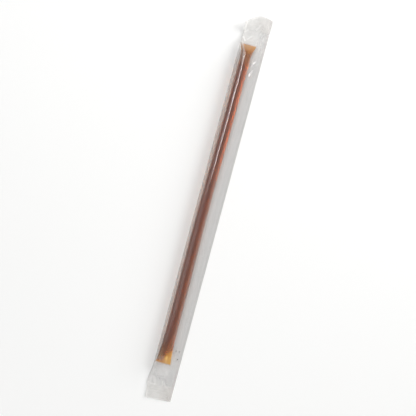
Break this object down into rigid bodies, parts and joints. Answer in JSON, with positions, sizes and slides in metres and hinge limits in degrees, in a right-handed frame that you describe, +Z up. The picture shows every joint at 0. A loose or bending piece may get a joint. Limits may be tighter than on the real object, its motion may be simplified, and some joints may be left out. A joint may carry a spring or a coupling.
{
  "type": "honey stick",
  "caption": "Clear straw filled with dark amber honey, heat-sealed flat at both ends, lying in a wider clear film sleeve with crimped ends.",
  "frame": {"origin": "middle of the bounding box's base, on the surface the stick lies on", "axes": "+Y along the stick towards the sleeve's curled end, +X across it towards the wide margin of empty film, +Z up"},
  "size_m": [0.0154, 0.2176, 0.0061],
  "materials": {
    "sleeve_film": "thin clear polypropylene film, glossy, with ribbed heat seals across both ends and one plain seam along a side",
    "straw_plastic": "clear extruded polypropylene, glossy, pressed flat and welded at both ends",
    "honey": "clear dark amber honey, tan where it is thin"
  },
  "bodies": {
    "root": {"honey_stick": "sleeve_film"}
  },
  "joints": []
}
